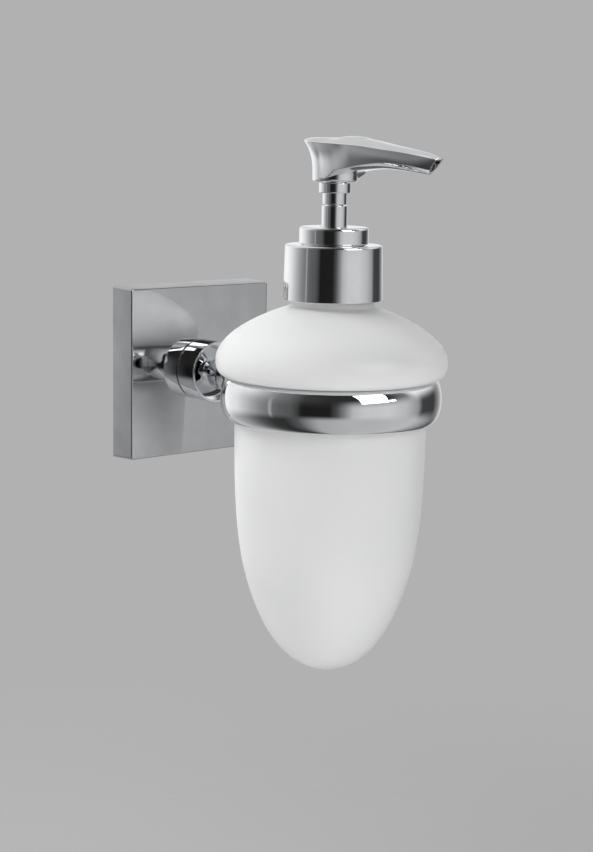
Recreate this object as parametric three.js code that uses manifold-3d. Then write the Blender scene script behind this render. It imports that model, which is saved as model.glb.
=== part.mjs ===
// Wall mounted soap dispenser. A square cover plate on a wall bracket carries a turned post and a
// ring, and a frosted glass bottle with a hand pump hangs in the ring by its shoulder.
//
// Millimetres, +Z up. The origin is on the wall, behind the middle of the cover plate, and the
// dispenser stands out from the wall along -Y.

import * as THREE from 'three';
import { ParametricGeometry } from 'three/addons/geometries/ParametricGeometry.js';
import { mergeVertices } from 'three/addons/utils/BufferGeometryUtils.js';
import Module from 'manifold-3d';

const wasm = await Module();
wasm.setup();

// ---------------------------------------------------------------------------------------------
// Driving dimensions
// ---------------------------------------------------------------------------------------------

const GAP = 0.3; // between pieces that touch or slide on each other
const REACH = 83; // from the wall to the axis of the bottle and pump
const QUARTER = Math.PI / 2;

const ROUND = 32; // sides of the large turned pieces
const SMALL = 24; // sides of the small turned pieces
const FINE = 16; // sides of the smallest ones

// The plate on the wall: a pressed cover, open at the back, over a steel bracket
const COVER = { front: 61, back: 62, depth: 11, wall: 1.5, boltHole: 2.3 };
const BRACKET = { halfWidth: 20, halfHeight: 22, thick: 2.5, lip: 2, depth: 8.5 };
const WALL_SCREW = { x: 11, head: 3.9, headThick: 2.2, shank: 1.4, length: 16, point: 3.5, slot: 0.5 };
const PLUG = { radius: 2.5, bore: 1.7, length: 20, hole: 2.8, slit: 0.4, slitLength: 12 };
const KEY_DEPTH = 2; // of the hexagon holes in the grub screw and the bolt
const GRUB = { radius: 2, hole: 2.3, depth: 5.5, socket: 1.1, point: 1.2 };

// The post, turned from one bar: a round flange with a funnel face, a waist and a boss
const FLANGE = { radius: 11, length: 10, chamfer: 0.4, lip: 0.4 };
const WAIST = { radius: 2.8, start: 5.5, length: 0.6 };
const BOSS = { radius: 6, start: 11.6, end: 41.2 };
const BOLT = { radius: 1.7, hole: 2, head: 4.2, headThick: 3.2, depth: 4.3, socket: 2.2 };
const WASHER = { radius: 5, thick: 1 };
const STUD = { radius: 2, hole: 2.3, start: 31, end: 47 };

// The ring: a band with a bulging outside
const RING = {
  bore: 32.3,
  radius: 36.7,
  bottom: -8.4,
  top: 5.9,
  widest: -1.2,
  lip: 2.4,
  foot: 0.5,
  chamfer: 1.2,
};

// The bottle: a threaded neck, a mushroom shoulder that rests on the ring, and a tapering body
const BOTTLE = {
  neck: 12.6,
  bore: 9.5,
  bead: 13.2,
  mouth: 44.2,
  neckFoot: 30,
  shoulder: 38.4,
  shoulderHeight: 11.2,
  rest: 6.2,
  restRadius: 34.5,
  body: 31.9,
  tip: -94.3,
  wall: 3,
};
const THREAD = { pitch: 4.2, start: 35.4, stepsPerTurn: 26 };
const NECK_THREAD = { rib: 0.95, turns: 1.5 };
const CAP_THREAD = { rib: 0.85, from: 0.15, turns: 1.4 };

// The closure: a chrome shell over a threaded liner
const SHELL = { bottom: 31.5, top: 49.5, foot: 16.35, head: 15.95, wall: 0.6, hole: 10.6, edge: 0.6 };
const LINER = { radius: 15, bore: 14, bottom: 32.6, top: 48.6, web: 1.2 };

// The pump: a barrel under the closure, a stem with a piston, and the head with its spout
const BARREL = { radius: 6.4, bore: 5.2, bottom: 7.7, flange: 13.6, flangeTop: 47.1, flangeThick: 1.3 };
const FOOT_VALVE = { chamber: 2.6, port: 1.3, seat: 3, web: 0.4, ball: 1.9 };
const FOOT_SOCKET = { radius: 4, cone: 3, bottom: -8 };
const DIP_TUBE = { radius: 2.6, bore: 1.8, top: 2.3, bottom: -87.5 };
const GASKET = { radius: 13.4, bore: 9.9, thick: 1 };
const COLLAR = { radius: 11.36, sleeve: 10.2, bottom: 49.8, top: 55.3, edge: 0.7 };
const CAGE = { radius: 4.9, hole: 1.1, thick: 1 };
const STEM = { radius: 4.15, spigot: 2.9, bore: 1.8, foot: 3.8, bottom: 38.5, step: 62.2, top: 74 };
const PISTON = { lip: 4.9, waist: 4.4, bore: 3.2, bottom: 40, top: 45 };
const SPRING = { radius: 3.5, wire: 0.4, turns: 8, stepsPerTurn: 12 };
const SLEEVE = { radius: 3.95, bottom: 62.5, top: 71.7 };
const FERRULE = { radius: 5.17, bore: 4.25, bottom: 66.2, top: 69.6 };
const HEAD = {
  bottom: 69.9,
  root: 7.4,
  waist: 74.5,
  flare: 10.4,
  rim: 83.1,
  top: 83.9,
  edge: 0.8,
  spigotBore: 3.2,
};
const SPOUT = { start: -3, tip: 48.2, slant: 4.6, sections: 24, sides: 20 };
const PASSAGE = { radius: 1.4, back: 78.4, drop: 2.8, run: 51 };
const NOZZLE = { radius: 1.1, bore: 0.7, start: 38, end: 43.6 };

const FINISH = {
  chrome: { color: 0xdfe3e6, roughness: 0.06, metalness: 1 },
  steel: { color: 0x9aa0a4, roughness: 0.35, metalness: 1 },
  frostedGlass: { color: 0xf1f3f2, roughness: 0.55, metalness: 0, transparent: true, opacity: 0.85 },
  whitePlastic: { color: 0xeeeeea, roughness: 0.4, metalness: 0 },
  clearPlastic: { color: 0xe4eaec, roughness: 0.25, metalness: 0, transparent: true, opacity: 0.6 },
  greyPlastic: { color: 0x8d9092, roughness: 0.5, metalness: 0 },
  seal: { color: 0xd9d6cc, roughness: 0.7, metalness: 0 },
};

// ---------------------------------------------------------------------------------------------
// Shape tools
// ---------------------------------------------------------------------------------------------

// A closed geometry as a solid that can be joined and cut
function solid(geometry) {
  const bare = geometry.clone();
  bare.deleteAttribute('normal');
  bare.deleteAttribute('uv');
  const merged = mergeVertices(bare, 1e-4);
  const corners = merged.index.array;
  const triangles = [];
  for (let i = 0; i < corners.length; i += 3) {
    const [a, b, c] = [corners[i], corners[i + 1], corners[i + 2]];
    if (a !== b && b !== c && c !== a) {
      triangles.push(a, b, c);
    }
  }
  const triVerts = new Uint32Array(triangles);
  return new wasm.Manifold(
    new wasm.Mesh({ numProp: 3, vertProperties: merged.attributes.position.array, triVerts }),
  );
}

function cut(body, ...tools) {
  return tools.reduce((rest, tool) => rest.subtract(solid(tool)), body);
}

// A profile of [radius, height] points, closed on itself, turned about the Z axis
function turned(profile, sides = SMALL) {
  const points = profile.map(([radius, height]) => new THREE.Vector2(radius, height));
  if (THREE.ShapeUtils.area(points) < 0) {
    points.reverse();
  }
  points.push(points[0].clone());
  return new THREE.LatheGeometry(points, sides).rotateX(QUARTER);
}

function rod(radius, from, to, sides = SMALL) {
  return turned([[0, from], [radius, from], [radius, to], [0, to]], sides);
}

function tube(radius, bore, from, to, sides = SMALL) {
  return turned([[bore, from], [radius, from], [radius, to], [bore, to]], sides);
}

// A box between two corners
function block([x0, y0, z0], [x1, y1, z1]) {
  const box = new THREE.BoxGeometry(x1 - x0, y1 - y0, z1 - z0);
  return box.translate((x0 + x1) / 2, (y0 + y1) / 2, (z0 + z1) / 2);
}

// The points of a cubic curve in a profile, without its first point
function bend(from, pull, push, to, steps) {
  const ends = [from, pull, push, to].map(([radius, height]) => new THREE.Vector2(radius, height));
  const points = new THREE.CubicBezierCurve(...ends).getPoints(steps);
  return points.slice(1).map((point) => [point.x, point.y]);
}

// The hole for a hexagon key, as deep behind the origin as in front of it
function keyHole(radius) {
  return new THREE.CylinderGeometry(radius, radius, 2 * KEY_DEPTH, 6).rotateX(QUARTER);
}

// A square pyramid stump about the Z axis, from the height where it is `low` wide to where it is `high`
function stump(low, high, from, to) {
  const corner = Math.SQRT1_2;
  const body = new THREE.CylinderGeometry(high * corner, low * corner, to - from, 4);
  return body.rotateY(QUARTER / 2).rotateX(QUARTER).translate(0, 0, (from + to) / 2);
}

class Helix extends THREE.Curve {
  constructor(radius, bottom, pitch, firstTurn, lastTurn) {
    super();
    Object.assign(this, { radius, bottom, pitch, firstTurn, lastTurn });
  }

  getPoint(t, target = new THREE.Vector3()) {
    const turn = THREE.MathUtils.lerp(this.firstTurn, this.lastTurn, t);
    const angle = turn * 2 * Math.PI;
    const height = this.bottom + this.pitch * turn;
    return target.set(this.radius * Math.cos(angle), this.radius * Math.sin(angle), height);
  }
}

// A round wire along a curve, with flat ends
function wire(curve, radius, steps, sides = 6) {
  const section = new THREE.Shape();
  for (let i = 0; i < sides; i += 1) {
    const angle = (i / sides) * 2 * Math.PI;
    const [x, y] = [radius * Math.cos(angle), radius * Math.sin(angle)];
    if (i === 0) {
      section.moveTo(x, y);
    } else {
      section.lineTo(x, y);
    }
  }
  section.closePath();
  return new THREE.ExtrudeGeometry(section, { steps, extrudePath: curve, bevelEnabled: false });
}

function smoothCurve(points) {
  return new THREE.SplineCurve(points.map(([x, y]) => new THREE.Vector2(x, y)));
}

// ---------------------------------------------------------------------------------------------
// Pieces on the wall. Local +Z points away from the wall.
// ---------------------------------------------------------------------------------------------

function wallBracket() {
  const { halfWidth, halfHeight, thick, lip, depth } = BRACKET;
  const plate = solid(block([-halfWidth, -halfHeight, 0], [halfWidth, halfHeight, thick]));
  const topLip = block([-halfWidth, halfHeight - lip, thick / 2], [halfWidth, halfHeight, depth]);
  const bottomLip = block([-halfWidth, -halfHeight, thick / 2], [halfWidth, lip - halfHeight, depth]);
  const holes = [-1, 1].map((side) =>
    rod(PLUG.hole, -1, thick + 1).translate(side * WALL_SCREW.x, 0, 0));
  return cut(plate.add(solid(topLip)).add(solid(bottomLip)), ...holes);
}

function coverPlate() {
  const { front, back, depth, wall } = COVER;
  const shell = solid(stump(back, front, 0, depth));
  const hollow = stump(back - 2 * wall, front - 2 * wall, -1, depth - wall);
  const boltHole = rod(COVER.boltHole, depth - 2 * wall, depth + 1);
  const grubHole = rod(GRUB.hole, 0, back).rotateX(QUARTER).translate(0, 0, GRUB.depth);
  return cut(shell, hollow, boltHole, grubHole);
}

function wallScrew() {
  const { head, headThick, shank, length, point, slot } = WALL_SCREW;
  const seat = BRACKET.thick + GAP;
  const body = turned([
    [0, seat - length - point],
    [shank, seat - length],
    [shank, seat],
    [head, seat],
    [head, seat + headThick * 0.5],
    [head * 0.7, seat + headThick],
    [0, seat + headThick],
  ]);
  const groove = block([-head, -slot, seat + headThick * 0.5], [head, slot, seat + headThick + 1]);
  const crossGroove = groove.clone().rotateZ(QUARTER);
  return cut(solid(body), groove, crossGroove);
}

function wallPlug() {
  const { radius, bore, length, slit, slitLength } = PLUG;
  const body = solid(tube(radius, bore, -length, -GAP, FINE));
  return cut(body, block([-slit, -radius - 1, -length - 1], [slit, radius + 1, slitLength - length]));
}

function grubScrew() {
  const { radius, point, socket } = GRUB;
  const tip = BRACKET.halfHeight + GAP;
  const end = (COVER.back - COVER.wall) / 2;
  const body = turned([[0, tip], [point, tip], [radius, tip + radius - point], [radius, end], [0, end]]);
  return cut(solid(body), keyHole(socket).translate(0, 0, end));
}

// ---------------------------------------------------------------------------------------------
// Pieces on the post. Local +Z points away from the wall.
// ---------------------------------------------------------------------------------------------

function post() {
  const base = COVER.depth + GAP;
  const rim = base + FLANGE.length - GAP;
  const waist = COVER.depth + WAIST.start;
  const { radius, chamfer, lip } = FLANGE;
  return solid(turned([
    [0, base + BOLT.depth],
    [BOLT.hole, base + BOLT.depth],
    [BOLT.hole, base],
    [radius - chamfer, base],
    [radius, base + chamfer],
    [radius, rim - chamfer],
    [radius - chamfer, rim],
    [radius - chamfer - lip, rim],
    [WAIST.radius, waist],
    [WAIST.radius, waist + WAIST.length],
    ...bend(
      [WAIST.radius, waist + WAIST.length],
      [WAIST.radius + 0.4, waist + 2.4],
      [BOSS.radius - 1.6, COVER.depth + BOSS.start - 2.2],
      [BOSS.radius, COVER.depth + BOSS.start],
      4,
    ),
    [BOSS.radius, BOSS.end],
    [STUD.hole, BOSS.end],
    [STUD.hole, STUD.start],
    [0, STUD.start],
  ], ROUND));
}

function postWasher() {
  const top = COVER.depth - COVER.wall - GAP;
  return solid(tube(WASHER.radius, BOLT.radius + GAP, top - WASHER.thick, top));
}

function postBolt() {
  const seat = COVER.depth - COVER.wall - WASHER.thick - 2 * GAP;
  const bottom = seat - BOLT.headThick;
  const end = COVER.depth + BOLT.depth - GAP;
  const body = solid(turned([
    [0, bottom],
    [BOLT.head, bottom],
    [BOLT.head, seat],
    [BOLT.radius, seat],
    [BOLT.radius, end],
    [0, end],
  ]));
  return cut(body, keyHole(BOLT.socket).translate(0, 0, bottom));
}

function ringStud() {
  return solid(rod(STUD.radius, STUD.start + GAP, STUD.end - GAP));
}

// ---------------------------------------------------------------------------------------------
// Pieces on the axis of the bottle. Local +Z points up.
// ---------------------------------------------------------------------------------------------

function ring() {
  const { bore, radius, bottom, top, widest, lip, foot, chamfer } = RING;
  const lower = [bore + foot, bottom];
  const upper = [bore + lip, top];
  const band = turned([
    [bore + chamfer, top],
    [bore, top - chamfer],
    [bore, bottom],
    lower,
    ...bend(lower, [radius - 1.4, bottom + 0.4], [radius, widest - 3.2], [radius, widest], 6),
    ...bend([radius, widest], [radius, widest + 3], [radius - 0.6, top - 1.2], upper, 5),
  ], ROUND);
  const stub = rod(BOSS.radius, bore + lip, REACH - BOSS.end - GAP).rotateX(-QUARTER);
  const studHole = rod(STUD.hole, REACH - STUD.end, REACH).rotateX(-QUARTER);
  return cut(solid(band).add(solid(stub)), studHole);
}

function bottleOutside() {
  const { neck, bead, mouth, neckFoot, shoulder, shoulderHeight, rest, restRadius, body, tip } = BOTTLE;
  const dome = [neck + 0.8, neckFoot];
  const widest = [shoulder, shoulderHeight];
  const seat = [restRadius, rest];
  const throat = [body, rest - 1];
  const taper = [28.6, -58];
  return [
    [neck, mouth],
    [neck, neckFoot + 2],
    [bead, neckFoot + 1.6],
    [bead, neckFoot + 0.6],
    dome,
    ...bend(dome, [26, 25.5], [shoulder, 19], widest, 8),
    ...bend(widest, [shoulder, 7.6], [37, rest], seat, 4),
    [body + 1, rest],
    throat,
    ...bend(throat, [body, -26], [body - 0.1, -42], taper, 5),
    ...bend(taper, [25.4, -71], [18, tip - 0.2], [0, tip], 7),
  ];
}

function bottleInside() {
  const { bore, mouth, neckFoot, shoulder, shoulderHeight, body, tip, wall } = BOTTLE;
  const innerShoulder = shoulder - wall;
  const innerBody = body - wall;
  const bottom = [0, tip + wall];
  const taper = [25.6, -57];
  const waist = [innerBody, 1];
  const widest = [innerShoulder, shoulderHeight + 0.6];
  const throat = [bore, neckFoot - 0.4];
  return [
    bottom,
    ...bend(bottom, [16, tip + wall], [22.4, -70], taper, 5),
    ...bend(taper, [innerBody - 0.2, -42], [innerBody, -26], waist, 4),
    ...bend(waist, [innerBody, 6], [innerShoulder, 7.4], widest, 4),
    ...bend(widest, [innerShoulder, 17.5], [23, 22.5], throat, 6),
    [bore, mouth],
  ];
}

function glassBottle() {
  const body = solid(turned([...bottleOutside(), ...bottleInside()], ROUND));
  const { rib, turns } = NECK_THREAD;
  const thread = new Helix(BOTTLE.neck, THREAD.start, THREAD.pitch, 0, turns);
  return body.add(solid(wire(thread, rib, Math.round(turns * THREAD.stepsPerTurn))));
}

function closureShell() {
  const { bottom, top, foot, head, wall, hole, edge } = SHELL;
  return solid(turned([
    [foot - wall, bottom],
    [foot, bottom],
    [head, top - edge],
    [head - edge, top],
    [hole, top],
    [hole, top - wall],
    [head - wall, top - wall],
  ], ROUND));
}

function closureLiner() {
  const { radius, bore, bottom, top, web } = LINER;
  const body = solid(turned([
    [bore, bottom],
    [radius, bottom],
    [radius, top],
    [SHELL.hole, top],
    [SHELL.hole, top - web],
    [bore, top - web],
  ], ROUND));
  const { rib, from, turns } = CAP_THREAD;
  const between = THREAD.start - THREAD.pitch / 2;
  const thread = new Helix(bore, between, THREAD.pitch, from, from + turns);
  return body.add(solid(wire(thread, rib, Math.round(turns * THREAD.stepsPerTurn))));
}

function neckGasket() {
  const bottom = BOTTLE.mouth + GAP;
  return solid(tube(GASKET.radius, GASKET.bore, bottom, bottom + GASKET.thick));
}

function pumpBarrel() {
  const { radius, bore, bottom, flange, flangeTop, flangeThick } = BARREL;
  const { chamber, port, seat, web } = FOOT_VALVE;
  const tubeSocket = DIP_TUBE.radius + GAP;
  return solid(turned([
    [bore, flangeTop],
    [flange, flangeTop],
    [flange, flangeTop - flangeThick],
    [radius, flangeTop - flangeThick],
    [radius, bottom],
    [FOOT_SOCKET.radius, bottom - FOOT_SOCKET.cone],
    [FOOT_SOCKET.radius, FOOT_SOCKET.bottom],
    [tubeSocket, FOOT_SOCKET.bottom],
    [tubeSocket, seat - web],
    [port, seat - web],
    [port, seat],
    [chamber, seat + chamber - port],
    [chamber, bottom],
    [bore, bottom],
  ]));
}

function dipTube() {
  const { radius, bore, top, bottom } = DIP_TUBE;
  const body = solid(tube(radius, bore, bottom, top, FINE));
  const bevel = block([-10, -10, -10], [10, 10, 0]).rotateX(QUARTER / 2).translate(0, 0, bottom + radius);
  return cut(body, bevel);
}

function springCage() {
  const bottom = BARREL.bottom + GAP;
  return solid(tube(CAGE.radius, CAGE.hole, bottom, bottom + CAGE.thick));
}

// The ball lies on the conical seat, `GAP / 3` clear of it
function valveBall() {
  const { ball, port, seat } = FOOT_VALVE;
  const height = seat - port + (ball + GAP / 3) * Math.SQRT2;
  return solid(new THREE.SphereGeometry(ball, FINE, FINE / 2).rotateX(QUARTER).translate(0, 0, height));
}

function pumpCollar() {
  const { radius, sleeve, bottom, top, edge } = COLLAR;
  const bore = STEM.radius + GAP;
  const foot = BARREL.flangeTop + GAP;
  return solid(turned([
    [bore, foot],
    [sleeve, foot],
    [sleeve, bottom],
    [radius, bottom],
    [radius, top - edge],
    [radius - edge, top],
    [bore, top],
  ], ROUND));
}

function returnSpring() {
  const bottom = BARREL.bottom + 2 * GAP + CAGE.thick + SPRING.wire;
  const top = STEM.bottom - GAP - SPRING.wire;
  const coil = new Helix(SPRING.radius, bottom, (top - bottom) / SPRING.turns, 0, SPRING.turns);
  return solid(wire(coil, SPRING.wire, SPRING.turns * SPRING.stepsPerTurn));
}

function pistonSeal() {
  const { lip, waist, bore, bottom, top } = PISTON;
  return solid(turned([
    [bore, bottom],
    [lip - 0.3, bottom],
    [lip, bottom + 0.8],
    [waist, (bottom + top) / 2],
    [lip, top - 0.8],
    [lip - 0.3, top],
    [bore, top],
  ]));
}

function stem() {
  const { radius, spigot, bore, foot, bottom, step, top } = STEM;
  return solid(turned([
    [bore, bottom],
    [foot, bottom],
    [foot, PISTON.bottom - GAP],
    [spigot, PISTON.bottom - GAP],
    [spigot, PISTON.top + GAP],
    [radius, PISTON.top + GAP],
    [radius, step],
    [spigot, step],
    [spigot, top],
    [bore, top],
  ]));
}

function headSleeve() {
  return solid(tube(SLEEVE.radius, STEM.spigot + GAP, SLEEVE.bottom, SLEEVE.top));
}

function headFerrule() {
  return solid(tube(FERRULE.radius, FERRULE.bore, FERRULE.bottom, FERRULE.top));
}

// A measure of the spout that runs smoothly through values at even steps along it
function alongSpout(...values) {
  return smoothCurve(values.map((value, step) => [step, value]));
}

const SPOUT_TOP = alongSpout(83.9, 84.6, 82.9, 81, 78.3);
const SPOUT_UNDER = alongSpout(71, 73.1, 74.4, 74.1, 73.3);
const SPOUT_WIDTH = alongSpout(9.6, 8.7, 6.4, 4.1, 2.3);
const SPOUT_TAPER = 0.16; // how much narrower the underside is than the middle, and the middle than the top

// Sections stand side by side along the spout, and the first and last are closed by a point
function spout() {
  const { start, tip, slant, sections, sides } = SPOUT;
  const square = (value) => Math.sign(value) * Math.sqrt(Math.abs(value));
  const shape = (u, v, target) => {
    const open = u > 0 && u < 1 ? 1 : 0;
    const station = THREE.MathUtils.clamp((u * sections - 1) / (sections - 2), 0, 1);
    const angle = -v * 2 * Math.PI;
    const rise = open * square(Math.sin(angle));
    const side = open * square(Math.cos(angle));
    const top = SPOUT_TOP.getPoint(station).y;
    const under = SPOUT_UNDER.getPoint(station).y;
    const halfWidth = SPOUT_WIDTH.getPoint(station).y * (1 + SPOUT_TAPER * (rise - 1));
    const lean = slant * station ** 3 * (rise - 1) * 0.5;
    const forward = THREE.MathUtils.lerp(start, tip, station) + lean;
    target.set(halfWidth * side, -forward, (top + under) / 2 + ((top - under) / 2) * rise);
  };
  return new ParametricGeometry(shape, sections, sides);
}

function pumpHead() {
  const { bottom, root, waist, flare, rim, top, edge, spigotBore } = HEAD;
  const cup = turned([
    [0, bottom],
    [root - edge, bottom],
    [root, bottom + edge],
    [root, waist],
    ...bend([root, waist], [root + 0.2, waist + 2.5], [root + 1, rim - 3.5], [flare, rim], 4),
    [flare - edge, top],
    [0, top],
  ], ROUND);
  const sleeveBore = rod(FERRULE.bore, bottom - 1, SLEEVE.top + GAP);
  const spigotHole = rod(spigotBore, bottom, STEM.top + 2);
  const riser = rod(PASSAGE.radius, STEM.top, PASSAGE.back + 0.5, FINE);
  const length = Math.hypot(PASSAGE.run, PASSAGE.drop);
  const channel = rod(PASSAGE.radius, 0, length, FINE).rotateX(QUARTER + passageTilt());
  const cutters = [sleeveBore, spigotHole, riser, channel.translate(0, 0, PASSAGE.back)];
  return cut(solid(cup).add(solid(spout())), ...cutters);
}

function passageTilt() {
  return Math.atan2(PASSAGE.drop, PASSAGE.run);
}

function nozzleTube() {
  return solid(tube(NOZZLE.radius, NOZZLE.bore, NOZZLE.start, NOZZLE.end, FINE));
}

// ---------------------------------------------------------------------------------------------
// Assembly
// ---------------------------------------------------------------------------------------------

function piece(group, name, body, finish) {
  const cutMesh = body.getMesh();
  const geometry = new THREE.BufferGeometry();
  geometry.setAttribute('position', new THREE.BufferAttribute(cutMesh.vertProperties, 3));
  geometry.setIndex(new THREE.BufferAttribute(cutMesh.triVerts, 1));
  const mesh = new THREE.Mesh(geometry, new THREE.MeshStandardMaterial(finish));
  mesh.name = name;
  group.add(mesh);
  return mesh;
}

const dispenser = new THREE.Group();

const fixing = new THREE.Group();
fixing.rotation.x = QUARTER;
dispenser.add(fixing);
piece(fixing, 'wall_bracket', wallBracket(), FINISH.steel);
piece(fixing, 'cover_plate', coverPlate(), FINISH.chrome);
for (const [name, side] of [['left', -1], ['right', 1]]) {
  piece(fixing, `wall_screw_${name}`, wallScrew(), FINISH.steel).position.x = side * WALL_SCREW.x;
  piece(fixing, `wall_plug_${name}`, wallPlug(), FINISH.greyPlastic).position.x = side * WALL_SCREW.x;
}
piece(fixing, 'post_washer', postWasher(), FINISH.steel);
piece(fixing, 'post_bolt', postBolt(), FINISH.steel);
piece(fixing, 'post', post(), FINISH.chrome);
piece(fixing, 'ring_stud', ringStud(), FINISH.steel);

const grub = piece(dispenser, 'grub_screw', grubScrew(), FINISH.steel);
grub.rotation.x = Math.PI;
grub.position.y = -GRUB.depth;

const hanging = new THREE.Group();
hanging.position.y = -REACH;
dispenser.add(hanging);
piece(hanging, 'ring', ring(), FINISH.chrome);
piece(hanging, 'glass_bottle', glassBottle(), FINISH.frostedGlass);
piece(hanging, 'closure_shell', closureShell(), FINISH.chrome);
piece(hanging, 'closure_liner', closureLiner(), FINISH.whitePlastic);
piece(hanging, 'neck_gasket', neckGasket(), FINISH.seal);
piece(hanging, 'pump_barrel', pumpBarrel(), FINISH.whitePlastic);
piece(hanging, 'dip_tube', dipTube(), FINISH.clearPlastic);
piece(hanging, 'spring_cage', springCage(), FINISH.whitePlastic);
piece(hanging, 'valve_ball', valveBall(), FINISH.steel);
piece(hanging, 'pump_collar', pumpCollar(), FINISH.chrome);
piece(hanging, 'return_spring', returnSpring(), FINISH.steel);
piece(hanging, 'piston_seal', pistonSeal(), FINISH.seal);
piece(hanging, 'stem', stem(), FINISH.chrome);
piece(hanging, 'head_sleeve', headSleeve(), FINISH.chrome);
piece(hanging, 'head_ferrule', headFerrule(), FINISH.chrome);
piece(hanging, 'pump_head', pumpHead(), FINISH.chrome);

const nozzle = piece(hanging, 'nozzle_tube', nozzleTube(), FINISH.greyPlastic);
nozzle.rotation.x = QUARTER + passageTilt();
nozzle.position.z = PASSAGE.back;

export default dispenser;
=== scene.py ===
"""Wall mounted soap dispenser: chrome holder and pump, frosted glass bottle, in a plain studio.

Lengths are in millimetres until a mesh is made, and in metres from there on. Heights are above the
middle of the wall bracket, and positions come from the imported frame.
"""
import math

import bmesh
import bpy
from mathutils import Matrix, Vector


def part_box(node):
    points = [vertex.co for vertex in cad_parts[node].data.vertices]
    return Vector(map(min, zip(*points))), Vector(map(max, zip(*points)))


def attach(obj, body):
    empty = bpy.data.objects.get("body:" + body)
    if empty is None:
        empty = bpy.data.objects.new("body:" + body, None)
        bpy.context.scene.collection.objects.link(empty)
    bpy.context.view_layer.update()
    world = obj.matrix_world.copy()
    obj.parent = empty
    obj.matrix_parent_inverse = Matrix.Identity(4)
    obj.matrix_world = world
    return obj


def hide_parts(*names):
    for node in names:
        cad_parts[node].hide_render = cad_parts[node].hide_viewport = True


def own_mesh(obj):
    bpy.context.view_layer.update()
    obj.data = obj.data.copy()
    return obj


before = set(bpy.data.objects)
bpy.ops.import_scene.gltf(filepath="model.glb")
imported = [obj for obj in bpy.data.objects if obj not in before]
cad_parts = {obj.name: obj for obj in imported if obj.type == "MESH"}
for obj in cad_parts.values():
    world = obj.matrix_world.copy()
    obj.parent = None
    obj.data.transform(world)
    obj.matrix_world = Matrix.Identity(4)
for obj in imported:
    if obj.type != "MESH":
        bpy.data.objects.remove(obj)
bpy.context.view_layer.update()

MM = 0.001
QUARTER = math.pi / 2
X, Y, Z = Vector((1, 0, 0)), Vector((0, 1, 0)), Vector((0, 0, 1))

# Sides of a turned piece
ROUND = 96
FINE = 192
FINEST = 256


# ------------------------------------------------------------------------------------------------
# The frame's own sizes, in millimetres
# ------------------------------------------------------------------------------------------------

class Extent:
    """A CAD node's box."""

    def __init__(self, node):
        low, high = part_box(node)
        self.low = Vector(low) / MM
        self.high = Vector(high) / MM
        self.middle = (self.low + self.high) / 2
        self.size = self.high - self.low

    @property
    def radius(self):
        """Half its width, which is the radius of a piece that stands round."""
        return self.size.x / 2


COVER = Extent("cover_plate")
GRUB_SCREW = Extent("grub_screw")
POST = Extent("post")
RING = Extent("ring")
BOTTLE = Extent("glass_bottle")
SHELL = Extent("closure_shell")
COLLAR = Extent("pump_collar")
STEM = Extent("stem")
SPRING = Extent("return_spring")
SLEEVE = Extent("head_sleeve")
FERRULE = Extent("head_ferrule")
HEAD = Extent("pump_head")

PUMP_AXIS = Vector((0, COLLAR.middle.y, 0))
WALL = Vector((0, 0, 0))

# Sizes that pieces share
GAP = 0.3  # between neighbours that touch on the real object
STUB_RADIUS = 6.0  # where the post's boss meets the ring's stub
SPIGOT_HOLE = 3.2  # in the sleeve and the head, round the stem's spigot
FERRULE_BORE = 4.25  # in the ferrule and the head's root


# ------------------------------------------------------------------------------------------------
# Outlines
# ------------------------------------------------------------------------------------------------

def mix(a, b, t):
    return a + (b - a) * t


def bezier(a, b, c, d, steps):
    """Points of a cubic curve, both ends included."""
    points = []
    for i in range(steps + 1):
        t = i / steps
        s = 1 - t
        weights = (s ** 3, 3 * s * s * t, 3 * s * t * t, t ** 3)
        points.append(tuple(sum(w * p[k] for w, p in zip(weights, (a, b, c, d))) for k in (0, 1)))
    return points


def round_off(before, corner, after, reach, steps):
    """The points that round a corner off, at most half way to its neighbours."""
    reach = min(reach, (before - corner).length / 2, (after - corner).length / 2)
    start = corner + (before - corner).normalized() * reach
    end = corner + (after - corner).normalized() * reach
    points = []
    for k in range(steps + 1):
        t = k / steps
        points.append(start * (1 - t) ** 2 + corner * 2 * t * (1 - t) + end * t * t)
    return points


def rounded(corners, steps=7):
    """A closed outline. A corner is (x, y), or (x, y, radius) where it is rounded off."""
    outline = []
    count = len(corners)
    for i, corner in enumerate(corners):
        if len(corner) == 2:
            outline.append(corner)
            continue
        before = Vector(corners[i - 1][:2])
        after = Vector(corners[(i + 1) % count][:2])
        curve = round_off(before, Vector(corner[:2]), after, corner[2], steps)
        outline += [tuple(point) for point in curve]
    return outline


def through(stations, x):
    """A smooth curve through (x, value) points, read at x."""
    if x <= stations[0][0]:
        return stations[0][1]
    if x >= stations[-1][0]:
        return stations[-1][1]
    last = len(stations) - 1
    i = max(k for k in range(last) if stations[k][0] <= x)

    def slope(k):
        low, high = stations[max(k - 1, 0)], stations[min(k + 1, last)]
        return (high[1] - low[1]) / (high[0] - low[0])

    (x0, y0), (x1, y1) = stations[i], stations[i + 1]
    width = x1 - x0
    t = (x - x0) / width
    rise = (2 * t - 3) * t * t
    leave = ((t - 2) * t + 1) * t * width * slope(i)
    arrive = (t - 1) * t * t * width * slope(i + 1)
    return y0 * (1 + rise) - y1 * rise + leave + arrive


# ------------------------------------------------------------------------------------------------
# Meshes
# ------------------------------------------------------------------------------------------------

SHARP_ANGLE = 35  # degrees between faces, above which their edge is drawn sharp

# Which ways a turned piece lies: the two directions across it, and the one along its axis
UPRIGHT = (X, Y, Z)
FORWARD = (X, Z, -Y)
BACKWARD = (X, Z, Y)


def add_mesh(name, bm):
    """An object from a bmesh, which is used up."""
    mesh = bpy.data.meshes.new(name)
    bm.to_mesh(mesh)
    bm.free()
    piece = bpy.data.objects.new(name, mesh)
    bpy.context.collection.objects.link(piece)
    return piece


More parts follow.
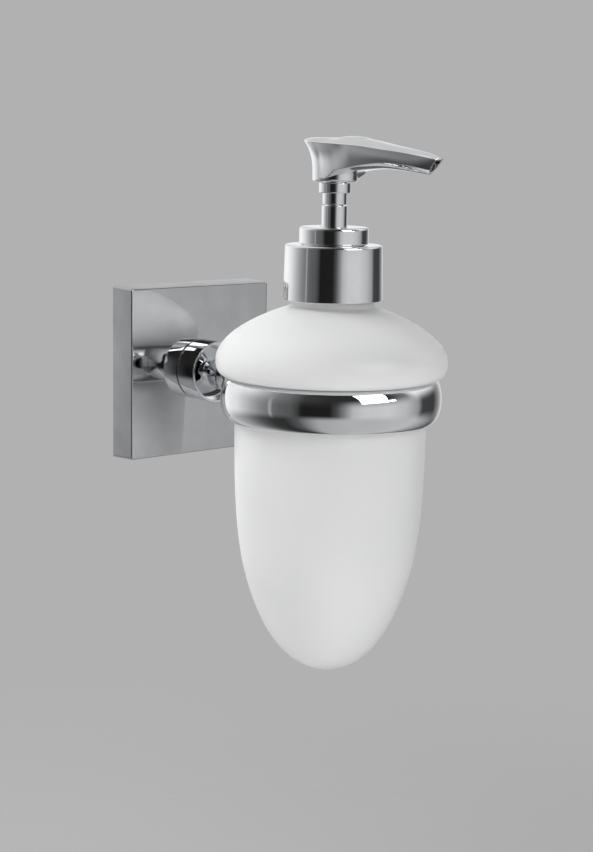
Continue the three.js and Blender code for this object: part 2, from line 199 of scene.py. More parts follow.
def finish_mesh(name, bm):
    """A mesh object from a bmesh in millimetres, with its faces out and smooth between its edges."""
    bmesh.ops.remove_doubles(bm, verts=bm.verts, dist=1e-4)
    bmesh.ops.recalc_face_normals(bm, faces=bm.faces)
    bmesh.ops.scale(bm, vec=(MM, MM, MM), verts=bm.verts)
    piece = add_mesh(name, bm)
    piece.data.shade_smooth()
    piece.data.set_sharp_from_angle(angle=math.radians(SHARP_ANGLE))
    return piece


def turned(name, profile, centre=PUMP_AXIS, lie=UPRIGHT, sides=ROUND):
    """A turned piece from a closed profile of (radius, distance along its axis)."""
    across, other, along = lie
    bm = bmesh.new()
    rings = []
    for radius, distance in profile:
        count = sides if radius > 1e-6 else 1
        loop = []
        for k in range(count):
            angle = 2 * math.pi * k / sides
            out = across * math.cos(angle) + other * math.sin(angle)
            loop.append(bm.verts.new(centre + out * radius + along * distance))
        rings.append(loop)
    for lower, upper in zip(rings, rings[1:] + rings[:1]):
        for k in range(sides):
            corners = [lower[k % len(lower)], lower[(k + 1) % len(lower)]]
            corners += [upper[(k + 1) % len(upper)], upper[k % len(upper)]]
            face = list(dict.fromkeys(corners))
            if len(face) > 2:
                bm.faces.new(face)
    return finish_mesh(name, bm)


def loft(name, sections):
    """A skin over closed sections that all have the same number of points, with flat ends."""
    bm = bmesh.new()
    loops = [[bm.verts.new(point) for point in section] for section in sections]
    count = len(loops[0])
    for first, second in zip(loops, loops[1:]):
        for k in range(count):
            bm.faces.new((first[k], first[(k + 1) % count], second[(k + 1) % count], second[k]))
    bm.faces.new(loops[0])
    bm.faces.new(list(reversed(loops[-1])))
    return finish_mesh(name, bm)


def coil(name, radius, wire, bottom, pitch, turns, run_out=0.0):
    """A round wire wound about the pump's axis. Its ends thin down and sink in over a run-out."""
    steps, sides, thinnest = round(72 * turns), 12, 0.05
    angles = [2 * math.pi * side / sides for side in range(sides)]
    sections = []
    for k in range(steps + 1):
        turn = turns * k / steps
        share = 1.0
        if run_out:
            share = max(thinnest, min(1.0, turn / run_out, (turns - turn) / run_out))
        out = X * math.cos(2 * math.pi * turn) + Y * math.sin(2 * math.pi * turn)
        middle = PUMP_AXIS + out * (radius - wire * (1 - share)) + Z * (bottom + pitch * turn)
        section = [middle + (out * math.cos(a) + Z * math.sin(a)) * wire * share for a in angles]
        sections.append(section)
    return loft(name, sections)


def drill(radius, foot, length):
    """A plain rod that stands on its foot, to cut a hole with."""
    return turned("drill", [(0, 0), (radius, 0), (radius, length), (0, length)], foot)


def cut_away(piece, tool):
    """Cuts a tool out of a piece, and deletes the tool."""
    bpy.context.view_layer.objects.active = piece
    modifier = piece.modifiers.new("cut", "BOOLEAN")
    modifier.operation = "DIFFERENCE"
    modifier.object = tool
    modifier.solver = "EXACT"
    bpy.ops.object.modifier_apply(modifier=modifier.name)
    bpy.data.objects.remove(tool)


# ------------------------------------------------------------------------------------------------
# Materials
# ------------------------------------------------------------------------------------------------

class Finish:
    """A node material with a Principled shader and noise in the object's own coordinates."""

    def __init__(self, name, **sockets):
        self.material = bpy.data.materials.new(name)
        self.material.use_nodes = True
        self.nodes = self.material.node_tree.nodes
        self.links = self.material.node_tree.links
        self.shader = self.nodes["Principled BSDF"]
        self.place = self.nodes.new("ShaderNodeTexCoord").outputs["Object"]
        for socket, value in sockets.items():
            self.shader.inputs[socket.replace("_", " ")].default_value = value

    def noise(self, scale, detail=4, stretch=(1, 1, 1)):
        """Noise with `scale` features to a metre."""
        mapping = self.nodes.new("ShaderNodeMapping")
        mapping.inputs["Scale"].default_value = stretch
        self.links.new(self.place, mapping.inputs["Vector"])
        texture = self.nodes.new("ShaderNodeTexNoise")
        texture.inputs["Scale"].default_value = scale
        texture.inputs["Detail"].default_value = detail
        self.links.new(mapping.outputs["Vector"], texture.inputs["Vector"])
        return texture.outputs["Fac"]

    def colour(self, source, dark, light):
        """A colour between dark and light, as the source goes from 0.35 to 0.65."""
        ramp = self.nodes.new("ShaderNodeValToRGB")
        for stop, position, colour in zip(ramp.color_ramp.elements, (0.35, 0.65), (dark, light)):
            stop.position = position
            stop.color = (*colour, 1)
        self.links.new(source, ramp.inputs["Fac"])
        self.links.new(ramp.outputs["Color"], self.shader.inputs["Base Color"])

    def spread(self, source, span, values, socket):
        """Drives a socket between two values, as the source goes over its span."""
        node = self.nodes.new("ShaderNodeMapRange")
        for end, at, value in zip(("Min", "Max"), span, values):
            node.inputs["From " + end].default_value = at
            node.inputs["To " + end].default_value = value
        self.links.new(source, node.inputs["Value"])
        self.links.new(node.outputs["Result"], self.shader.inputs[socket])
        return node

    def roughness(self, source, smooth, rough):
        self.spread(source, (0.3, 0.7), (smooth, rough), "Roughness")

    def bump(self, source, height, strength):
        """Relief of `height` millimetres."""
        relief = self.nodes.new("ShaderNodeBump")
        relief.inputs["Strength"].default_value = strength
        relief.inputs["Distance"].default_value = height * MM
        self.links.new(source, relief.inputs["Height"])
        self.links.new(relief.outputs["Normal"], self.shader.inputs["Normal"])


def chrome(name, dark=0.80, light=0.86, grain=0.0, tooth=0.004):
    """Mirror plating with faint polishing haze. More grain and tooth make it satin."""
    cool = (1, 1.015, 1.03)
    look = Finish(name, Metallic=1.0)
    shades = [tuple(shade * channel for channel in cool) for shade in (dark, light)]
    look.colour(look.noise(90, detail=6), *shades)
    look.roughness(look.noise(260, detail=8), 0.02 + grain, 0.05 + grain)
    look.bump(look.noise(2600, detail=3), tooth, 0.25)
    return look.material


def frosted_glass():
    """Acid-etched glass: a fine satin tooth, milky in its thickness."""
    look = Finish("frosted_glass", IOR=1.5, Transmission_Weight=0.12, Subsurface_Weight=0.4)
    look.shader.inputs["Subsurface Radius"].default_value = (0.012, 0.012, 0.012)
    look.shader.inputs["Subsurface Scale"].default_value = 1.0
    look.colour(look.noise(35, detail=5), (0.925, 0.93, 0.928), (0.95, 0.953, 0.95))
    look.roughness(look.noise(1800, detail=6), 0.33, 0.41)
    look.bump(look.noise(5200, detail=6), 0.012, 0.3)
    return look.material


def zinc_steel():
    look = Finish("zinc_steel", Metallic=1.0)
    look.colour(look.noise(220, detail=8), (0.50, 0.51, 0.53), (0.68, 0.69, 0.71))
    look.roughness(look.noise(900, detail=6), 0.22, 0.42)
    look.bump(look.noise(3000, detail=4), 0.01, 0.4)
    return look.material


def spring_steel():
    look = Finish("spring_steel", Metallic=1.0)
    drawn = look.noise(1500, detail=5, stretch=(1, 1, 8))
    look.colour(drawn, (0.55, 0.55, 0.57), (0.72, 0.73, 0.74))
    look.roughness(drawn, 0.16, 0.3)
    look.bump(drawn, 0.004, 0.4)
    return look.material


def moulded_plastic(name, dark, light, smooth=0.32, rough=0.45):
    look = Finish(name, IOR=1.49)
    look.colour(look.noise(120, detail=4), dark, light)
    look.roughness(look.noise(1400, detail=6), smooth, rough)
    look.bump(look.noise(4200, detail=4), 0.01, 0.35)
    return look.material


def milky_tube():
    look = Finish("milky_tube", IOR=1.49, Transmission_Weight=0.6)
    look.colour(look.noise(150, detail=3), (0.84, 0.87, 0.88), (0.92, 0.94, 0.95))
    look.roughness(look.noise(800, detail=5), 0.15, 0.28)
    look.bump(look.noise(2500, detail=3, stretch=(1, 1, 0.2)), 0.01, 0.3)
    return look.material


CHROME = chrome("chrome")
# The cover plate gets a darker copy of the chrome: painted shade, which stands in for the darker room
# that its face mirrors
SHADED_PLATE_CHROME = chrome("plate_chrome_painted_shade", 0.52, 0.57, grain=0.01)
SATIN_CHROME = chrome("satin_chrome", 0.46, 0.55, grain=0.26, tooth=0.02)
FROSTED = frosted_glass()
STEEL = zinc_steel()
SPRING_STEEL = spring_steel()
WHITE_PLASTIC = moulded_plastic("white_plastic", (0.82, 0.82, 0.79), (0.88, 0.88, 0.86))
GREY_PLASTIC = moulded_plastic("grey_plastic", (0.30, 0.31, 0.32), (0.36, 0.37, 0.38))
SEAL = moulded_plastic("seal", (0.70, 0.69, 0.64), (0.76, 0.75, 0.70), 0.55, 0.7)
TUBE = milky_tube()


def dress(piece, material, body, slot, *nodes):
    """Gives a piece its material, the body it rides on and the CAD nodes it stands for. Its slot is
    not used.
    """
    piece.data.materials.clear()
    piece.data.materials.append(material)
    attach(piece, body)
    if nodes:
        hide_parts(*nodes)


def repaint(node, material):
    """A new finish on a CAD node that is kept."""
    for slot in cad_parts[node].material_slots:
        slot.material = material


# ------------------------------------------------------------------------------------------------
# Holder
# ------------------------------------------------------------------------------------------------

def square_outline(half, corner, level, steps=6):
    """A square with rounded corners, at a distance in front of the wall."""
    points = []
    for quadrant in range(4):
        turn = Matrix.Rotation(quadrant * QUARTER, 2)
        for k in range(steps + 1):
            angle = QUARTER * k / steps
            out = Vector((math.cos(angle), math.sin(angle)))
            x, z = turn @ (Vector((half - corner, half - corner)) + out * corner)
            points.append((x, -level, z))
    return points


def cover_plate():
    """The pressed square cover: sides with a slight draft, a flat face, and an open back."""
    draft, wall, corner, inner_corner, edge, edge_steps = 0.5, 1.5, 1.0, 0.6, 0.55, 6
    back, front, depth = COVER.radius, COVER.radius - draft, COVER.size.y
    # From the face over its rounded edge and down the sides to the wall, then up the inside
    sections = []
    for k in range(edge_steps + 1):
        angle = QUARTER * k / edge_steps
        inset = edge * (1 - math.sin(angle))
        level = depth - edge * (1 - math.cos(angle))
        sections.append(square_outline(front - inset, corner, level))
    sections.append(square_outline(back, corner, 0))
    sections.append(square_outline(back - wall, inner_corner, 0))
    sections.append(square_outline(front - wall, inner_corner, depth - wall))
    cover = loft("cover", sections)
    grub_hole, below, above = 2.3, 3, 6
    foot = Vector((0, GRUB_SCREW.middle.y, -COVER.size.z / 2 - below))
    cut_away(cover, drill(grub_hole, foot, below + above))
    # The face gets the darkened chrome, which is painted shade
    dress(cover, SHADED_PLATE_CHROME, "holder", "chromed_brass", "cover_plate")
    cover.data.materials.append(SATIN_CHROME)
    for face in cover.data.polygons:
        if abs(face.normal.y) < 0.3:  # the sides, which are satin
            face.material_index = 1


def post():
    """Flange, funnel face, waist and boss, turned from one bar."""
    base, end, radius = -POST.high.y, -POST.low.y, POST.radius
    rim, dip, waist, boss = base + 9.7, base + 5.2, 2.8, STUB_RADIUS
    lip, bolt_hole, hole_depth = 0.8, 2.3, 8
    flange = [
        (0, base),
        (radius, base, 0.5),
        (radius, rim, 0.45),
        (radius - lip, rim, 0.2),
        (waist, dip, 0.8),
    ]
    leave, arrive = (waist + 0.2, dip + 2.2), (boss - 1.5, dip + 3.6)
    neck = bezier((waist, dip + 0.6), leave, arrive, (boss, dip + 6.2), 20)
    socket = [
        (boss, end, 0.3),
        (bolt_hole, end, 0.1),
        (bolt_hole, end - hole_depth),
        (0, end - hole_depth),
    ]
    piece = turned("post_turned", rounded(flange + neck + socket), WALL, FORWARD, FINE)
    dress(piece, CHROME, "holder", "chromed_brass", "post")


def ring():
    """The bulging band, and the stub that joins it to the post."""
    low, high, radius, bore = RING.low.z, RING.high.z, RING.radius, 32.3
    foot, belly, crown = (bore + 0.9, low), (radius, -1.2), (bore + 2.2, high)
    lower = bezier(foot, (radius - 1.2, low + 0.3), (radius, belly[1] - 3.4), belly, 20)
    upper = bezier(belly, (radius, belly[1] + 3.2), (radius - 0.7, high - 0.9), crown, 20)
    inner = [(bore + 1.2, high, 0.3), (bore, high - 1.2, 0.3), (bore, low, 0.4)]
    band = turned("ring_band", rounded(lower + upper[1:] + inner), sides=FINEST)
    dress(band, CHROME, "holder", "chromed_brass", "ring")

    start, end = bore + 2.2, RING.high.y - PUMP_AXIS.y
    root, stub = STUB_RADIUS + 0.1, STUB_RADIUS - 0.1
    leave, arrive = (STUB_RADIUS, start + 2.4), (stub, start + 3)
    flare = bezier((root, start), leave, arrive, (stub, start + 4.2), 12)
    profile = rounded([(0, start)] + flare + [(stub, end, 0.3), (0, end)])
    piece = turned("ring_stub", profile, lie=BACKWARD)
    dress(piece, CHROME, "holder", "chromed_brass")


# ------------------------------------------------------------------------------------------------
# Bottle
# ------------------------------------------------------------------------------------------------

NECK_RADIUS = 12.6


def bottle_outline():
    """The glass, from the mouth down the outside to the tip and up the inside."""
    mouth, tip, shoulder = BOTTLE.high.z, BOTTLE.low.z, BOTTLE.radius
    bead, bore, body, wall = 13.9, 9.5, 31.9, 3.0
    bead_top, bead_foot, seat_height = 31.8, 29.5, 6.2
    widest, seat, throat, taper = (shoulder, 11.2), (34.5, seat_height), (body, 5.2), (28.6, -58.0)
    outside = [
        (bore, mouth, 0.6),
        (NECK_RADIUS, mouth, 0.6),
        (NECK_RADIUS, bead_top + 0.2, 0.4),
        (bead, bead_top, 0.5),
        (bead, bead_foot, 0.2),
    ]
    outside += bezier((bead + 0.4, bead_foot - 0.2), (26, 25.5), (shoulder, 19), widest, 40)
    outside += bezier(widest, (shoulder, 7.6), (37, seat_height), seat, 16)[1:]
    outside += bezier((body + 1.4, seat_height), (body + 0.4, seat_height), (body, 5.9), throat, 6)
    outside += bezier(throat, (body, -26), (body - 0.1, -42), taper, 32)[1:]
    outside += bezier(taper, (25.4, -71), (18, tip), (0, tip), 40)[1:]

    inner_body, inner_shoulder, floor = body - wall, shoulder - wall, tip + wall
    inner_taper, inner_throat, inner_widest = (25.6, -57.0), (inner_body, 1), (inner_shoulder, 11.8)
    inside = bezier((0, floor), (16, floor), (22.4, -70), inner_taper, 24)
    inside += bezier(inner_taper, (inner_body - 0.2, -42), (inner_body, -26), inner_throat, 20)[1:]
    inside += bezier(inner_throat, (inner_body, 6), (inner_shoulder, 7.4), inner_widest, 12)[1:]
    inside += bezier(inner_widest, (inner_shoulder, 17.5), (23, 22.5), (bore, 29.6), 24)[1:]
    return rounded(outside + inside)


def glass_bottle():
    piece = turned("bottle", bottle_outline(), sides=FINEST)
    dress(piece, FROSTED, "bottle", "frosted_glass", "glass_bottle")


def neck_thread():
    """The rib that the closure screws onto, one and a half turns up the neck."""
    rib, start, pitch, turns = 0.9, 35.4, 4.2, 1.5
    piece = coil("neck_rib", NECK_RADIUS, rib, start, pitch, turns, run_out=0.1)
    dress(piece, FROSTED, "bottle", "frosted_glass")


# ------------------------------------------------------------------------------------------------
# Closure and pump
# ------------------------------------------------------------------------------------------------

def closure_shell():
    """The thin outer shell, a little narrower at its top."""
    bottom, top, foot = SHELL.low.z, SHELL.high.z, SHELL.radius
    head, wall, hole = foot - 0.4, 0.6, 10.6
    profile = rounded([
        (foot - wall, bottom, 0.25),
        (foot, bottom, 0.25),
        (head, top, 0.8),
        (hole, top, 0.2),
        (hole, top - wall),
        (head - wall, top - wall),
    ])
    piece = turned("closure_cap", profile, sides=FINE)
    dress(piece, CHROME, "closure", "chromed_shell", "closure_shell")


def pump_collar():
    """The step on top of the closure, and its sleeve that goes down through the closure's hole."""
    foot, top, radius = COLLAR.low.z, COLLAR.high.z, COLLAR.radius
    bore, sleeve, step = 4.45, 10.2, SHELL.high.z + GAP
    profile = rounded([
        (bore, foot),
        (sleeve, foot),
        (sleeve, step),
        (radius, step, 0.25),
        (radius, top, 1.1),
        (bore, top, 0.5),
    ])
    piece = turned("collar_cap", profile, sides=FINE)
    dress(piece, CHROME, "pump_body", "chromed_plastic", "pump_collar")


def stem():
    """The hollow stem: a foot for the piston seal, and a spigot that holds the sleeve and the head."""
    low, top, radius = STEM.low.z, STEM.high.z, STEM.radius
    foot, spigot, bore = 3.8, 2.9, 1.8
    foot_top, seal_top, step = low + 1.2, low + 6.8, SLEEVE.low.z - GAP
    profile = rounded([
        (bore, low),
        (foot, low, 0.3),
        (foot, foot_top, 0.3),
        (spigot, foot_top),
        (spigot, seal_top),
        (radius, seal_top, 0.2),
        (radius, step, 0.25),
        (spigot, step),
        (spigot, top, 0.2),
        (bore, top),
    ])
    piece = turned("stem_tube", profile)
    dress(piece, CHROME, "piston", "chromed_shell", "stem")


def return_spring():
    """The coil under the stem. The real spring gets shorter as the pump is pressed."""
    wire, turns = 0.4, 8
    length = SPRING.size.z
    pitch = (length - 2 * wire) / turns
    piece = coil("spring_coil", SPRING.radius - wire, wire, SPRING.low.z + wire, pitch, turns)
    dress(piece, SPRING_STEEL, "pump_body", "spring_steel", "return_spring")
    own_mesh(piece)


def head_sleeve():
    """The tube above the fine joint line on the stem, which turns with the head."""
    profile = rounded([
        (SPIGOT_HOLE, SLEEVE.low.z),
        (SLEEVE.radius, SLEEVE.low.z, 0.3),
        (SLEEVE.radius, SLEEVE.high.z, 0.2),
        (SPIGOT_HOLE, SLEEVE.high.z),
    ])
    piece = turned("head_tube", profile)
    dress(piece, CHROME, "head", "chromed_plastic", "head_sleeve")


def head_ferrule():
    """The plain ring between the sleeve and the head."""
    radius, low, high = FERRULE.radius, FERRULE.low.z, FERRULE.high.z
    profile = rounded([
        (FERRULE_BORE, low, 0.2),
        (radius, low, 0.45),
        (radius, high, 0.35),
        (FERRULE_BORE, high),
    ])
    piece = turned("head_ring", profile)
    dress(piece, CHROME, "head", "chromed_plastic", "head_ferrule")


# ------------------------------------------------------------------------------------------------
# Pump head and spout
# ------------------------------------------------------------------------------------------------

# Heights at distances in front of the pump axis. The ridge runs along the middle of the top, and the
# crease between the top and a side. The turn is where a side begins to go under, and the underside
# is read along its middle.
HEAD_RIDGE = [
    (-10, 84), (2, 84), (9, 83.95), (16, 83.7), (22, 82.85),
    (30, 81.7), (39, 80.55), (44, 79.7), (48, 78.4),
]
HEAD_CREASE = [
    (-10, 83.1), (-2, 82.85), (3, 82.5), (11.5, 82.15), (19.6, 81.7),
    (27.6, 80.8), (35.4, 79.95), (43.2, 78.75), (48, 77.85),
]
HEAD_TURN = [
    (3.2, 70.9), (6.2, 72.4), (7.8, 73.5), (13.5, 74.5), (18.5, 75.4),
    (26, 76.35), (31.5, 76.5), (37.3, 76), (44.5, 74.8),
]
HEAD_UNDER = [
    (3, 70.9), (5, 71.9), (7, 72.6), (12, 73.4), (18, 74.1),
    (25, 74.55), (32, 74.3), (39, 73.7), (44, 73.3),
]
HEAD_FOOT = 70.9  # the height of the round back's foot
HEAD_ROOT, HEAD_FLARE = 7.41, 10.4  # the round back's radius at its foot and at its rim
HEAD_EDGE = 0.35  # how far the four long edges are rounded
HEAD_TIP = 48.0  # how far forward the spout goes
HEAD_SLANT = 4.5  # how far its lower lip is behind its upper one

# A pair is for the foot of the side and for its rim
BACK_ENDS = (85, 82)  # degrees from straight ahead, where the round back ends
TIP_HALF_WIDTHS = (1.45, 1.75)
NARROWING = (2.3, 1.35)  # 1 would narrow evenly, and more keeps the width for longer

# Columns go round the back and along the spout, levels up the side, and shares across the top
BACK_COLUMNS, SIDE_COLUMNS = 22, 44
HEAD_LEVELS = [k / 18 for k in range(19)]
HEAD_SHARES = [1 - k / 13 for k in range(27)]


def thumb_pad(forward, across):
    """The height of the raised oval on top of the head."""
    middle, half_length, half_width, height, flatness = 9.5, 6.2, 5.652, 0.62, 2.6
    distance = math.hypot((forward - middle) / half_length, across / half_width)
    return height * (1 - distance ** flatness) if distance < 1 else 0.0


def lean_back(forward):
    """How far the underside is behind the top: nothing at the axis, the whole slant at the tip."""
    return HEAD_SLANT * max(0.0, forward / HEAD_TIP) ** 3


def head_column(column, level):
    """The distance forward and the half width at a column, with `level` 0 to 1 up the side."""
    end_angle = math.radians(mix(*BACK_ENDS, level))
    radius = mix(HEAD_ROOT, HEAD_FLARE, level ** 3)
    if column <= BACK_COLUMNS:
        angle = mix(math.pi, end_angle, column / BACK_COLUMNS)
        return radius * math.cos(angle), radius * math.sin(angle)
    along = (column - BACK_COLUMNS) / SIDE_COLUMNS
    forward = mix(radius * math.cos(end_angle), HEAD_TIP, along)
    # The hollow flare of the back becomes a straight side over the first part of the spout
    straight = min(1.0, along / 0.3) ** 0.8
    half = mix(radius, mix(HEAD_ROOT, HEAD_FLARE, level), straight) * math.sin(end_angle)
    return forward, mix(half, mix(*TIP_HALF_WIDTHS, level), along ** mix(*NARROWING, level))


def head_heights(forward):
    """The heights of the turn, underside, crease and ridge at a distance in front of the axis."""
    ridge = through(HEAD_RIDGE, forward)
    if forward < HEAD_TURN[0][0]:
        return HEAD_FOOT, HEAD_FOOT, through(HEAD_CREASE, forward), ridge
    # The lower a line is, the further the leaning section has gone back where it meets it
    lean = lean_back(forward)
    turn = through(HEAD_TURN, forward - 0.75 * lean)
    under = through(HEAD_UNDER, forward - lean)
    crease = through(HEAD_CREASE, forward - 0.25 * lean)
    return turn, under, crease, ridge


def head_section(column):
    """A closed section of the head: up one side, across the top, down the other side and under."""
    side, top, belly = [], [], []
    for level in HEAD_LEVELS:
        forward, half = head_column(column, level)
        turn, _, crease, _ = head_heights(forward)
        side.append((half, forward, mix(turn, crease, level)))
    foot_half, foot_forward, turn = side[0]
    rim_half, rim_forward, crease = side[-1]
    under, ridge = head_heights(foot_forward)[1], head_heights(rim_forward)[3]

    # The top is flat with a quick fall at the back, and evenly domed along the spout
    crown = mix(9, 2, min(1.0, max(0.0, (rim_forward + 9) / 12)))
    belly_curve = 1.9
    for share in HEAD_SHARES:
        across = share * rim_half
        reach = abs(share)
        if rim_forward < 0:
            reach = min(1.0, math.hypot(across, rim_forward) / HEAD_FLARE)
        height = mix(ridge, crease, reach ** crown) + thumb_pad(rim_forward, across)
        top.append((across, rim_forward, height))
        belly.append((-share * foot_half, foot_forward, mix(under, turn, abs(share) ** belly_curve)))
    other_side = [(-half, forward, height) for half, forward, height in reversed(side)]
    slant = lean_back(rim_forward) / (ridge - under)

    def place(point):
        x, forward, height = point
        return PUMP_AXIS + Vector((x, slant * (ridge - height) - forward, height))

    edges = [[place(point) for point in edge] for edge in (side, top, other_side, belly)]
    section = []
    for k, edge in enumerate(edges):
        section += round_off(edges[k - 1][-2], edge[0], edge[1], HEAD_EDGE, 4) + edge[1:-1]
    return section


def pump_head():
    """The head and spout: a round back that flares to its rim, and a long tapering spout."""
    sections = [head_section(column) for column in range(BACK_COLUMNS + SIDE_COLUMNS + 1)]
    tip = sections[-1]
    centre = sum(tip, Vector()) / len(tip)
    # The tip section shrinks and bulges out into a rounded lip, then goes back in as the outlet
    face_out, bore_in = Vector((0, -0.73, -0.68)), Vector((0, 1, 0.055))
    lip = [(0.97, 0.12), (0.92, 0.2), (0.8, 0.2), (0.72, 0.1)]
    outlet = [(0.7, 0.4), (0.66, 4.0)]
    for way, steps in ((face_out, lip), (bore_in, outlet)):
        for share, distance in steps:
            sections.append([mix(centre, point, share) + way * distance for point in tip])
    head = loft("pump_spout", sections)
    hole_foot, hole_top = 70, 74.3
    cut_away(head, drill(SPIGOT_HOLE, PUMP_AXIS + Z * hole_foot, hole_top - hole_foot))
    dress(head, CHROME, "head", "chromed_plastic", "pump_head")


def head_root():
    """The round root under the head, with the hole for the sleeve's spigot."""
    root, inner_end, root_top, top = 7.4, 7.0, 72.4, 76
    profile = rounded([
        (FERRULE_BORE, HEAD.low.z, 0.2),
        (root, HEAD.low.z, 0.9),
        (root, root_top),
        (inner_end, top),
        (FERRULE_BORE, top),
    ])
    boss = turned("head_boss", profile)
    dress(boss, CHROME, "head", "chromed_plastic")


# ------------------------------------------------------------------------------------------------
# Pieces kept from the CAD
# ------------------------------------------------------------------------------------------------

KEPT = {
    "wall_bracket": STEEL,
    "wall_screw_left": STEEL,
    "wall_screw_right": STEEL,
    "wall_plug_left": GREY_PLASTIC,
    "wall_plug_right": GREY_PLASTIC,
    "grub_screw": STEEL,
    "post_washer": STEEL,
    "post_bolt": STEEL,
    "ring_stud": STEEL,
    "closure_liner": WHITE_PLASTIC,
    "neck_gasket": SEAL,
    "pump_barrel": WHITE_PLASTIC,
    "dip_tube": TUBE,
    "spring_cage": WHITE_PLASTIC,
    "valve_ball": STEEL,
    "piston_seal": SEAL,
    "nozzle_tube": GREY_PLASTIC,
}


# ------------------------------------------------------------------------------------------------
# Studio
# ------------------------------------------------------------------------------------------------

AZIMUTH, ELEVATION, ROLL = -40.0, 9.76, 0.97  # of the camera, in degrees
LENS, SENSOR = 71.831, 36  # millimetres, along the picture's long side
CAMERA_DISTANCE = 0.5667
AIM_RIGHT, AIM_UP = -0.0112, -0.011  # from the pump axis to the middle of the picture

BACKDROP = (0.44, 0.44, 0.44)

# Name, azimuth and elevation in degrees, distance, width and height in metres, power in watts, and
# whether the chrome mirrors it
SOFTBOXES = [
    ("window", 5, 29, 0.8, 0.42, 0.5, 2.1, True),
    ("strip", 24, 14, 0.8, 0.14, 0.04, 0.2, True),
    ("key", -130, 48, 0.9, 0.6, 0.6, 5.6, False),
    ("left_fill", -92, -8, 0.9, 0.7, 0.7, 2.6, False),
    ("front_fill", -30, -30, 0.9, 0.7, 0.7, 1.7, False),
    ("low_fill", -25, -52, 0.4, 0.35, 0.35, 0.6, False),
    ("back_fill", 165, 5, 0.9, 0.6, 0.6, 2.2, False),
]

# How bright the studio's walls are by azimuth in degrees: overhead, level with the object and below
HIGH = [
    (-180, 0.9), (-160, 0.95), (-140, 0.8), (-120, 0.45), (-100, 0.22), (-87, 0.16), (-70, 0.05),
    (-40, 0.03), (25, 0.02), (48, 0.2), (62, 0.9), (95, 0.9), (110, 0.3), (125, 0.6), (165, 0.7),
    (180, 0.9),
]
LEVEL = [
    (-180, 1.08), (-166, 0.96), (-153, 0.82), (-142, 0.62), (-131, 0.44), (-120, 0.29), (-109, 0.20),
    (-106, 0.45), (-103, 0.17), (-95, 0.13), (-82, 0.10), (-75, 0.05), (-71, 0.013), (-42, 0.015),
    (-34, 0.08), (-26, 0.26), (-18, 0.52), (-6, 0.64), (20, 0.66), (43, 0.54), (60, 0.34),
    (68, 0.06), (92, 0.05), (108, 0.30), (132, 0.9), (165, 1.0), (180, 1.08),
]
LOW = [
    (-180, 0.6), (-165, 0.45), (-146, 0.3), (-133, 0.17), (-122, 0.09), (-108, 0.04), (-92, 0.03),
    (-76, 0.1), (-54, 0.42), (-33, 0.48), (10, 0.5), (60, 0.56), (90, 0.3), (110, 0.1), (150, 0.12),
    (165, 0.4), (180, 0.6),
]


def direction(azimuth, elevation):
    """Away from the object. Azimuth 0 is straight out from the wall, and 90 is towards +X."""
    a, e = math.radians(azimuth), math.radians(elevation)
    return Vector((math.sin(a) * math.cos(e), -math.cos(a) * math.cos(e), math.sin(e)))


def add_camera():
    back = direction(AZIMUTH, ELEVATION)
    right = direction(AZIMUTH + 90, 0)
    target = PUMP_AXIS * MM + right * AIM_RIGHT + Z * AIM_UP
    data = bpy.data.cameras.new("camera")
    data.lens = LENS
    data.sensor_width = SENSOR
    camera = bpy.data.objects.new("camera", data)
    bpy.context.collection.objects.link(camera)
    aim = (-back).to_track_quat("-Z", "Y").to_matrix().to_4x4()
    lean = Matrix.Rotation(math.radians(ROLL), 4, "Z")
    camera.matrix_world = Matrix.Translation(target + back * CAMERA_DISTANCE) @ aim @ lean
    bpy.context.scene.camera = camera


def add_softbox(name, azimuth, elevation, distance, width, height, power, mirrored):
    """A rectangular light that faces the bottle. Some are kept out of the chrome's reflections."""
    data = bpy.data.lights.new(name, "AREA")
    data.shape = "RECTANGLE"
    data.size, data.size_y = width, height
    data.energy = power
    light = bpy.data.objects.new(name, data)
    bpy.context.collection.objects.link(light)
    away = direction(azimuth, elevation)
    aim = away.to_track_quat("Z", "Y").to_matrix().to_4x4()
    light.matrix_world = Matrix.Translation(PUMP_AXIS * MM + away * distance) @ aim
    light.visible_camera = False
    light.visible_glossy = mirrored


def add_floor():
    """A pale floor that fades into the backdrop."""
    below, radius, fade_start, fade_end = 0.25, 1.2, 0.15, 0.8
    middle = PUMP_AXIS * MM + Vector((0, 0, BOTTLE.low.z * MM - below))
    bm = bmesh.new()
    bmesh.ops.create_circle(bm, cap_ends=True, radius=radius, segments=ROUND)
    bmesh.ops.translate(bm, vec=middle, verts=bm.verts)
    floor = add_mesh("floor", bm)
    look = Finish("floor_paint", Roughness=0.8)
    look.colour(look.noise(3, detail=2), (0.43, 0.43, 0.43), (0.45, 0.45, 0.45))
    distance = look.nodes.new("ShaderNodeVectorMath")
    distance.operation = "DISTANCE"
    distance.inputs[1].default_value = middle
    look.links.new(look.place, distance.inputs[0])
    fade = look.spread(distance.outputs["Value"], (fade_start, fade_end), (1, 0), "Alpha")
    fade.interpolation_type = "SMOOTHSTEP"
    floor.data.materials.append(look.material)
    floor.visible_glossy = False


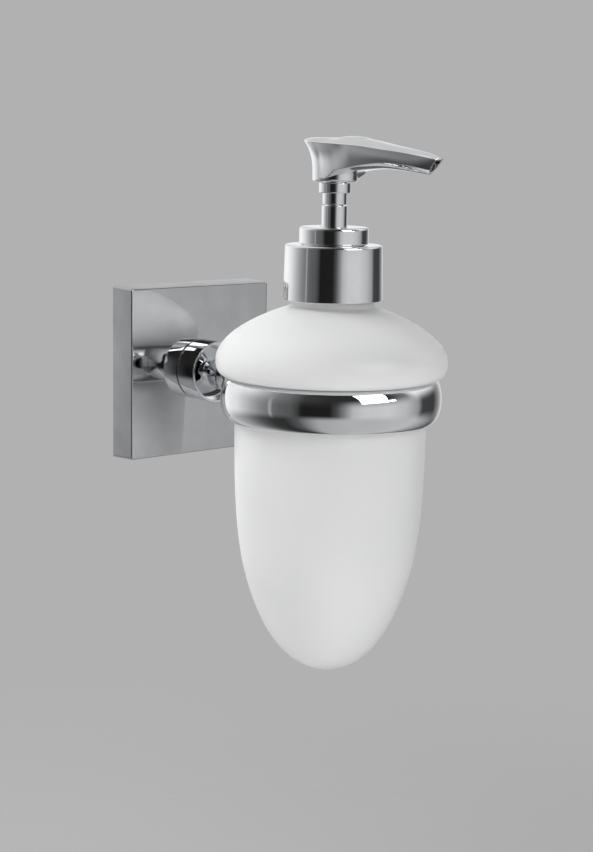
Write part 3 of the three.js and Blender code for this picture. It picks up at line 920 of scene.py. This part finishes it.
def add_world():
    """Plain and pale behind the object, with a studio's bright and dark walls in the reflections."""
    world = bpy.data.worlds.new("studio")
    bpy.context.scene.world = world
    world.use_nodes = True
    nodes, links = world.node_tree.nodes, world.node_tree.links
    seen = nodes["Background"]
    seen.inputs["Color"].default_value = (*BACKDROP, 1)
    split = nodes.new("ShaderNodeSeparateXYZ")
    links.new(nodes.new("ShaderNodeTexCoord").outputs["Generated"], split.inputs["Vector"])

    def math_node(operation, *values):
        node = nodes.new("ShaderNodeMath")
        node.operation = operation
        for socket, value in zip(node.inputs, values):
            if isinstance(value, (int, float)):
                socket.default_value = value
            else:
                links.new(value, socket)
        return node.outputs["Value"]

    back = math_node("MULTIPLY", split.outputs["Y"], -1)
    azimuth = math_node("ARCTAN2", split.outputs["X"], back)
    around = math_node("MULTIPLY_ADD", azimuth, 0.5 / math.pi, 0.5)

    def walls(table):
        """The brightness all round, at one of the three heights."""
        ramp = nodes.new("ShaderNodeValToRGB")
        stops = ramp.color_ramp.elements
        while len(stops) < len(table):
            stops.new(0.5)
        for stop, (angle, _) in zip(stops, table):
            stop.position = angle / 360 + 0.5
        for stop, (_, light) in zip(stops, table):
            stop.color = (light, light, light * 1.01, 1)
        links.new(around, ramp.inputs["Fac"])
        return ramp.outputs["Color"]

    def blend(first, second, start, end):
        """From one height of walls to another, between two elevations in degrees."""
        share = nodes.new("ShaderNodeMapRange")
        share.interpolation_type = "SMOOTHSTEP"
        share.inputs["From Min"].default_value = math.sin(math.radians(start))
        share.inputs["From Max"].default_value = math.sin(math.radians(end))
        links.new(split.outputs["Z"], share.inputs["Value"])
        colour = nodes.new("ShaderNodeMix")
        colour.data_type = "RGBA"
        links.new(share.outputs["Result"], colour.inputs["Factor"])
        links.new(first, colour.inputs["A"])
        links.new(second, colour.inputs["B"])
        return colour.outputs["Result"]

    lower = blend(walls(LOW), walls(LEVEL), -26, -11)
    room = nodes.new("ShaderNodeBackground")
    links.new(blend(lower, walls(HIGH), 0, 25), room.inputs["Color"])
    rays = nodes.new("ShaderNodeLightPath")
    choose = nodes.new("ShaderNodeMixShader")
    links.new(rays.outputs["Is Camera Ray"], choose.inputs["Fac"])
    links.new(room.outputs["Background"], choose.inputs[1])
    links.new(seen.outputs["Background"], choose.inputs[2])
    links.new(choose.outputs["Shader"], nodes["World Output"].inputs["Surface"])


add_camera()
add_floor()
add_world()
for softbox in SOFTBOXES:
    add_softbox(*softbox)

cover_plate()
post()
ring()
glass_bottle()
neck_thread()
closure_shell()
pump_collar()
stem()
return_spring()
head_sleeve()
head_ferrule()
pump_head()
head_root()
for kept_node, kept_material in KEPT.items():
    repaint(kept_node, kept_material)

bpy.context.scene.view_settings.view_transform = "Standard"
